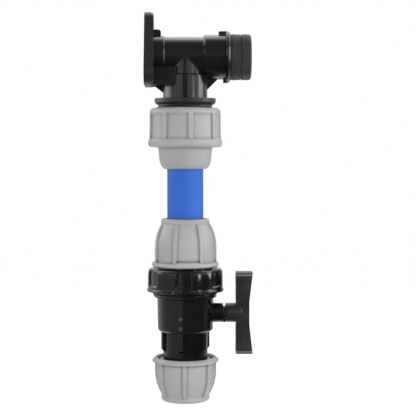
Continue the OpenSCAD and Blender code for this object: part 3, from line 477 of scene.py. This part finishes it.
def dome_outline(length, power, sink, chamfer):
    """Outline of a domed nut from its rim; chamfer is how far the rim's open edge is cut back."""
    rim_r, body_r, lip_r, rim_t, lip_w = 29.5, 27.7, 21.5, DOME_RIM_T, 4.4
    dome_start = rim_t + (length - rim_t - lip_w) * 0.25
    dome_end = length - lip_w
    steps = 9
    dome = []
    for i in range(steps + 1):
        t = i / steps
        r = body_r - (body_r - lip_r - 0.3) * t ** power - sink * (1 - ease((t - 0.86) / 0.14) * 0.55)
        dome.append((r, dome_start + (dome_end - dome_start) * t))
    points = [
        (rim_r - chamfer, 0), (rim_r - 0.2, chamfer * 0.8), (rim_r, chamfer * 0.8 + 0.5),
        (rim_r, rim_t - 0.8), (rim_r - 0.8, rim_t),
        (body_r + 0.2 - sink, rim_t + 0.3), (body_r - sink, rim_t + 2.2),
    ] + dome + [
        (lip_r, dome_end + sink * 0.5), (lip_r, length - 1.5), (lip_r - 1.2, length),
    ]
    return rounded_outline(points, 0.6)


RIM_BLOCK_MIDDLE = -84.8
RIM_BLOCK_HALF = 20.5
RIM_BLOCK_SIDE = 1.5
RIM_BLOCK_H = 1.2
RIM_BLOCK_INNER_R = 25.9


def raise_rim_block(angle, r, z):
    """How far the rim of the upper nut is raised in front, where its moulding has a block."""
    away = abs((math.degrees(angle) - RIM_BLOCK_MIDDLE + 180) % 360 - 180)
    on_rim_top = DOME_RIM_T - 1 < z < DOME_RIM_T + 1.5 and r > RIM_BLOCK_INNER_R
    return RIM_BLOCK_H * (1 - ease((away - RIM_BLOCK_HALF) / RIM_BLOCK_SIDE)) if on_rim_top else 0.0


UNION_LENGTH = 19.9
UNION_RIM_R = 34.0


def union_outline(panel_depth):
    """Outline of the union nut from its foot; its upper half is slightly barrelled."""
    r = 33.2
    draw_in, barrel_start, barrel_len = 0.45, 11, 8

    def barrel(z):
        return r - draw_in * (max(z - barrel_start, 0) / barrel_len) ** 2

    points = [(UNION_RIM_R - 0.4, 0), (UNION_RIM_R, 0.5), (UNION_RIM_R, 1.7), (r + 0.2, 2.4),
              (r, 3.4), (r, 4.7), (r - panel_depth, 6.1)]
    points += [(barrel(z) - panel_depth, z) for z in (9, 11, 13, 15, 17.4)]
    points += [(barrel(18.8) - 0.3 - panel_depth * 0.6, 18.8), (31.6 - panel_depth * 0.2, 19.6),
               (31.0, UNION_LENGTH)]
    return rounded_outline(points, 0.4)


def add_union_nut():
    shoulder, bore_r, hole_r, chamfer = 16.8, 29.1, 24.2, 0.7
    panel_depth = 1.4

    def inside(angle):
        points = [(hole_r + chamfer, UNION_LENGTH), (hole_r, UNION_LENGTH - chamfer),
                  (hole_r, shoulder), (bore_r, shoulder)]
        points += thread_rows(
            bore_r, depth=0.2, pitch=UNION_THREAD_PITCH, turns=4, mouth=1.6, twist=angle)
        return points + [(bore_r, 1.2), (bore_r + 0.6, 0)]

    turned_piece(
        "union_nut_moulding", "union_nut", "valve_plastic", ("union_nut",),
        pad_columns(count=6, middle=-92, half_recess=13, wall=0.8),
        union_outline(0), union_outline(panel_depth), inside, low("union_nut").z, 1)


def add_nuts():
    hole_r = PIPE_R + 0.6
    grip_r, cone_r = 21.9, 18.4
    panel_depth = 1.7
    thread_r = 25.1
    length = (high("tee_nut").z - low("tee_nut").z) / MM
    turned_piece(
        "tee_nut_moulding", "tee_nut", "nut_plastic", ("tee_nut",),
        rib_columns(count=8, phase=8.8, r_mm=31.7, top_half=2.0, foot_half=2.9),
        tee_nut_outline(0), tee_nut_outline(panel_depth),
        nut_inside(thread_r, length, 25.9, grip_r, cone_r, length - 6, hole_r, -1),
        high("tee_nut").z, -1)
    thread_r = 23.9
    block_edges = [RIM_BLOCK_MIDDLE + side * (RIM_BLOCK_HALF + d)
                   for side in (-1, 1) for d in (0, RIM_BLOCK_SIDE)]
    for end, power, first_rib, grip_at, chamfer in (
            ("upper", 2.85, -110.5, 21.3, 1.2), ("lower", 2.4, -92, 21.0, 2.8)):
        node = end + "_nut"
        direction = 1 if end == "upper" else -1
        start = low(node).z if end == "upper" else high(node).z
        length = (high(node).z - low(node).z) / MM
        extra = block_edges if end == "upper" else ()
        turned_piece(
            node + "_moulding", node, "nut_plastic", (node,),
            rib_columns(7, first_rib, r_mm=27.7, top_half=1.5, foot_half=2.4, extra=extra),
            dome_outline(length, power, 0, chamfer), dome_outline(length, power, panel_depth, chamfer),
            nut_inside(thread_r, length, grip_at, grip_r, cone_r, length - 4, hole_r, direction),
            start, direction, raise_rim_block if end == "upper" else None)


# Male threads; half the width of the ridge at its foot and crest is a share of the pitch
THREAD_STEPS = 72
THREAD_FOOT = 0.34
THREAD_CREST = 0.14
THREAD_DEPTH = 1.1


def thread(name, body, slot, crest_r, z_from, z_to, pitch):
    """A right-hand thread round the branch axis; it fades out over its first and last quarter turn."""
    sunk = 0.3 * MM
    root_r = crest_r - THREAD_DEPTH * MM
    foot = THREAD_FOOT * pitch
    crest = THREAD_CREST * pitch
    turns = (z_to - z_from - 2 * foot) / pitch
    steps = round(turns * THREAD_STEPS)
    rings = []
    for i in range(steps + 1):
        turn = i / THREAD_STEPS
        fade = min(1.0, 4 * turn, 4 * (turns - turn))
        top_r = root_r + (crest_r - root_r) * max(fade, 0.02)
        angle = 2 * math.pi * turn
        z = z_from + foot + turn * pitch
        outline = ((root_r - sunk, -foot), (root_r, -foot), (top_r, -crest), (top_r, crest),
                   (root_r, foot), (root_r - sunk, foot))
        rings.append([
            (AXIS_X + r * math.cos(angle), r * math.sin(angle), z + dz) for r, dz in outline])
    return finish_piece(name, rings_to_mesh(name, rings, cap=True), body, slot)


def add_threads():
    """Each male thread starts so that its crest runs midway between those of its nut."""
    pitch = NUT_THREAD_PITCH * MM
    half_foot = THREAD_FOOT * pitch
    tee_thread_top = -41.6 * MM
    thread("tee_thread", "fixed_run", "tee_plastic", 24.8 * MM,
           high("tee_nut").z - 5.5 * pitch - half_foot, tee_thread_top, pitch)
    valve_crest = 23.6 * MM
    thread("tail_thread", "fixed_run", "valve_plastic", valve_crest,
           low("upper_nut").z + 0.5 * pitch - half_foot, high("union_tail").z - 0.5 * MM, pitch)
    thread("lower_thread", "valve", "valve_plastic", valve_crest,
           high("lower_nut").z - 3.5 * pitch - half_foot, high("lower_nut").z - 1.8 * MM, pitch)
    union_thread_foot = -212.0 * MM
    thread("union_thread", "valve", "valve_plastic", 28.8 * MM,
           union_thread_foot, high("valve_body").z - 1.0 * MM, UNION_THREAD_PITCH * MM)


# Handle: where its bar starts, and how its outer face slopes out towards the tips
BAR_X = 80.6
BAR_MID_T = 11.7
BAR_FLAT = 10
BAR_SLOPE = 0.11
HANDLE_EDGE_R = 1.1


def add_handle():
    """The handle with the outer edges and the tips of its bar rounded off."""
    sharp_edge = math.radians(50)
    shading_edge = math.radians(35)
    slight_edge = math.radians(8)
    wide_face = 20 * MM * MM
    bm = bmesh.new()
    bm.from_mesh(nodes["handle"].data)
    bmesh.ops.remove_doubles(bm, verts=bm.verts, dist=0.001 * MM)
    bmesh.ops.dissolve_limit(bm, angle_limit=math.radians(1), verts=bm.verts, edges=bm.edges)
    tip = (high("handle").z - low("handle").z) / 2 - 0.05 * MM
    slack = 0.1

    def outside(vert):
        reach = abs(vert.co.z - STEM_Z)
        face_x = BAR_X + BAR_MID_T + BAR_SLOPE * max(reach / MM - BAR_FLAT, 0)
        return reach > tip or vert.co.x > (face_x - slack) * MM

    edges = [edge for edge in bm.edges if len(edge.link_faces) == 2
             and edge.calc_face_angle() > sharp_edge and all(outside(v) for v in edge.verts)]
    bmesh.ops.bevel(bm, geom=edges, offset=HANDLE_EDGE_R * MM, segments=3, profile=0.5,
                    affect="EDGES", clamp_overlap=True)
    bmesh.ops.remove_doubles(bm, verts=bm.verts, dist=0.005 * MM)
    bmesh.ops.dissolve_degenerate(bm, dist=0.005 * MM, edges=bm.edges)
    for edge in bm.edges:
        angle = edge.calc_face_angle(0)
        sizes = [face.calc_area() for face in edge.link_faces]
        round_meets_flat = max(sizes) > wide_face > min(sizes) and angle > slight_edge
        edge.smooth = angle < shading_edge and not round_meets_flat
    mesh = bpy.data.meshes.new("handle_moulding")
    bm.to_mesh(mesh)
    bm.free()
    finish_piece("handle_moulding", mesh, "handle", "handle_plastic", ("handle",))


# Gate marks, dull as real gate marks; their pale grey is painted highlight
BODY_FACE_R = 25.6
MARK_SIDES = 16
MARK_SUNK = 0.6


def add_mark(name, body, angle, surface_r, z, r, proud):
    """A dull, slightly domed gate mark on the outside of a round part; its pale grey is painted highlight."""
    out = Vector((math.cos(math.radians(angle)), math.sin(math.radians(angle)), 0))
    side = Vector((-out.y, out.x, 0))
    up = Vector((0, 0, 1))
    centre = Vector((AXIS_X, 0, z)) + out * surface_r * MM
    rings = []
    for reach, rise in ((1.0, -MARK_SUNK), (1.0, proud * 0.5), (0.75, proud * 0.85), (0.4, proud)):
        turn = [2 * math.pi * i / MARK_SIDES for i in range(MARK_SIDES)]
        rings.append([centre + (side * math.cos(t) + up * math.sin(t)) * reach * r * MM + out * rise * MM
                      for t in turn])
    piece = finish_piece(name, rings_to_mesh(name, rings, cap=True), body, "valve_plastic")
    piece.data.materials[0] = GATE_MARK_HIGHLIGHT


def add_marks():
    add_mark("body_gate_mark", "valve", -100.0, BODY_FACE_R, STEM_Z - 2.7 * MM, r=1.9, proud=0.4)
    add_mark("foot_gate_mark", "valve", -100.0, BODY_FACE_R, STEM_Z - 11.1 * MM, r=1.9, proud=0.3)
    add_mark("nut_gate_mark", "union_nut", -108.7, UNION_RIM_R, low("union_nut").z + 1.5 * MM,
             r=1.2, proud=0.4)


# Camera, with the places in the photograph that fix it
PHOTO_PX = 416
MM_PER_PX = 0.886 * MM
PLATE_LEFT_PX = 145
RUN_AXIS_PX = 57
EYE_LINE_PX = 180
EYE_LEVEL_PX = 150
VIEW_DISTANCE_PX = 1200
TARGET_PX = (208, 207)


def photo_x(px):
    return (px - PLATE_LEFT_PX) * MM_PER_PX


def photo_z(px):
    return (RUN_AXIS_PX - px) * MM_PER_PX


def aim(obj, target):
    obj.rotation_euler = (Vector(target) - obj.location).to_track_quat("-Z", "Y").to_euler()


def add_camera():
    """The camera that frames the object as the photograph does."""
    data = bpy.data.cameras.new("photo_camera")
    camera = bpy.data.objects.new("photo_camera", data)
    scene.collection.objects.link(camera)
    target = Vector((photo_x(TARGET_PX[0]), 0, photo_z(TARGET_PX[1])))
    camera.location = (photo_x(EYE_LINE_PX), -VIEW_DISTANCE_PX * MM_PER_PX, photo_z(EYE_LEVEL_PX))
    aim(camera, target)
    distance = (target - camera.location).length
    data.sensor_width = 36
    data.lens = data.sensor_width * distance / (PHOTO_PX * MM_PER_PX)
    data.clip_start = 0.01
    scene.camera = camera


# Lights
def add_softbox(name, azimuth, distance, z_low, z_high, width, radiance, in_gloss=True):
    """An upright soft box that faces the branch axis; its sizes are in metres.

    azimuth is in degrees, 0 at the front and growing to the right.
    """
    height = z_high - z_low
    data = bpy.data.lights.new(name, "AREA")
    data.shape = "RECTANGLE"
    data.size = width
    data.size_y = height
    data.energy = radiance * math.pi * width * height
    lamp = bpy.data.objects.new(name, data)
    scene.collection.objects.link(lamp)
    turn = math.radians(azimuth)
    z_middle = (z_low + z_high) / 2
    lamp.location = (AXIS_X + distance * math.sin(turn), -distance * math.cos(turn), z_middle)
    aim(lamp, (AXIS_X, 0, z_middle))
    lamp.visible_glossy = in_gloss


def add_top_fill():
    """A soft box overhead in front, for the upper faces only."""
    side = 0.8
    radiance = 1.1
    data = bpy.data.lights.new("top_fill", "AREA")
    data.shape = "SQUARE"
    data.size = side
    data.energy = radiance * math.pi * side * side
    lamp = bpy.data.objects.new("top_fill", data)
    scene.collection.objects.link(lamp)
    lamp.location = (AXIS_X + 0.1, -0.35, 0.9)
    aim(lamp, (AXIS_X, 0, -0.1))
    lamp.visible_glossy = False


def add_lights():
    """Fills that gloss doesn't see, wide boxes for its broad tones, and rims and strips for its streaks."""
    add_softbox("front_fill", 8, 1.2, -0.45, 0.45, 0.6, 1.7, in_gloss=False)
    add_softbox("low_fill", 12, 0.5, -0.46, -0.27, 0.16, 7.0, in_gloss=False)
    add_top_fill()
    add_softbox("left_softbox", -45, 1.0, -0.10, 0.30, 1.35, 0.9)
    add_softbox("left_valve_softbox", -45, 1.0, -0.62, -0.10, 1.35, 0.40)
    add_softbox("left_valve_fill", -45, 1.0, -0.62, -0.10, 1.35, 0.72, in_gloss=False)
    add_softbox("right_softbox", 42, 1.0, -0.07, 0.45, 1.25, 0.9)
    add_softbox("left_rim_softbox", -103, 0.9, -0.05, 0.35, 0.72, 3.3)
    add_softbox("left_low_softbox", -107, 1.0, -0.62, -0.10, 1.15, 0.3)
    add_softbox("right_rim_softbox", 88, 0.9, -0.05, 0.35, 0.50, 5.0)
    add_softbox("strip_softbox", 80, 1.0, -0.22, -0.04, 0.10, 15.0)
    add_softbox("narrow_strip_softbox", 43, 1.0, -0.22, 0.0, 0.09, 14.0)


def add_world():
    """White all round for soft light; gloss sees white behind the object and dark in front of it."""
    soft_light = 0.32
    gloss_in_front, gloss_behind = 0.01, 0.6
    gloss_above, gloss_below, gloss_over_horizon = 2.5, 1.2, 0.12
    world = bpy.data.worlds.new("studio")
    world.use_nodes = True
    scene.world = world
    tree = world.node_tree
    background = tree.nodes["Background"]
    background.inputs["Color"].default_value = (1, 1, 1, 1)
    path = add(tree, "ShaderNodeLightPath")
    direction = add(tree, "ShaderNodeSeparateXYZ")
    tree.links.new(add(tree, "ShaderNodeTexCoord").outputs["Generated"], direction.inputs["Vector"])
    backdrop = ramp(tree, direction.outputs["Y"], -0.25, 0.75, gloss_in_front, gloss_behind)
    behind = ramp(tree, direction.outputs["Y"], 0.05, 0.5, 0, 1)
    ceiling = ramp(tree, direction.outputs["Z"], 0.3, 0.8, 0, gloss_above)
    ground = ramp(tree, direction.outputs["Z"], -0.3, -0.8, 0, gloss_below)
    above = combine(tree, "MULTIPLY", behind, ceiling)
    below = combine(tree, "MULTIPLY", behind, ground)
    horizon = ramp(tree, direction.outputs["Z"], -0.02, 0.06, 0, gloss_over_horizon)
    gloss = combine(
        tree, "ADD", combine(tree, "ADD", backdrop, above), combine(tree, "ADD", below, horizon))
    seen_in_gloss = add(tree, "ShaderNodeMix", data_type="FLOAT")
    seen_in_gloss.inputs["A"].default_value = soft_light
    tree.links.new(path.outputs["Is Glossy Ray"], seen_in_gloss.inputs["Factor"])
    tree.links.new(gloss, seen_in_gloss.inputs["B"])
    strength = add(tree, "ShaderNodeMix", data_type="FLOAT")
    strength.inputs["B"].default_value = 1.0
    tree.links.new(path.outputs["Is Camera Ray"], strength.inputs["Factor"])
    tree.links.new(seen_in_gloss.outputs["Result"], strength.inputs["A"])
    tree.links.new(strength.outputs["Result"], background.inputs["Strength"])


def add_floor():
    """A pale floor well below the valve, shown near white but keeping the shadow."""
    drop = 0.6
    half_size = 6.0
    glow_strength = 0.75
    mesh = rings_to_mesh("floor", [
        [(-half_size, -half_size, 0), (half_size, -half_size, 0)],
        [(-half_size, half_size, 0), (half_size, half_size, 0)],
    ], close_ring=False)
    floor = bpy.data.objects.new("floor", mesh)
    scene.collection.objects.link(floor)
    floor.location.z = cad_bounds[0][2] - drop
    floor.visible_glossy = False
    material, tree, shader = new_material("pale_floor")
    shader.inputs["Base Color"].default_value = (0.82, 0.82, 0.82, 1)
    shader.inputs["Roughness"].default_value = 0.9
    shader.inputs["Emission Color"].default_value = (1, 1, 1, 1)
    path = add(tree, "ShaderNodeLightPath")
    glow = add(tree, "ShaderNodeMath", operation="MULTIPLY")
    glow.inputs[1].default_value = glow_strength
    tree.links.new(path.outputs["Is Camera Ray"], glow.inputs[0])
    tree.links.new(glow.outputs["Value"], shader.inputs["Emission Strength"])
    mesh.materials.append(material)


# The whole scene
scene.view_settings.view_transform = "Standard"
dress_frame()
add_nuts()
add_union_nut()
add_threads()
add_handle()
add_marks()
add_world()
add_lights()
add_floor()
add_camera()
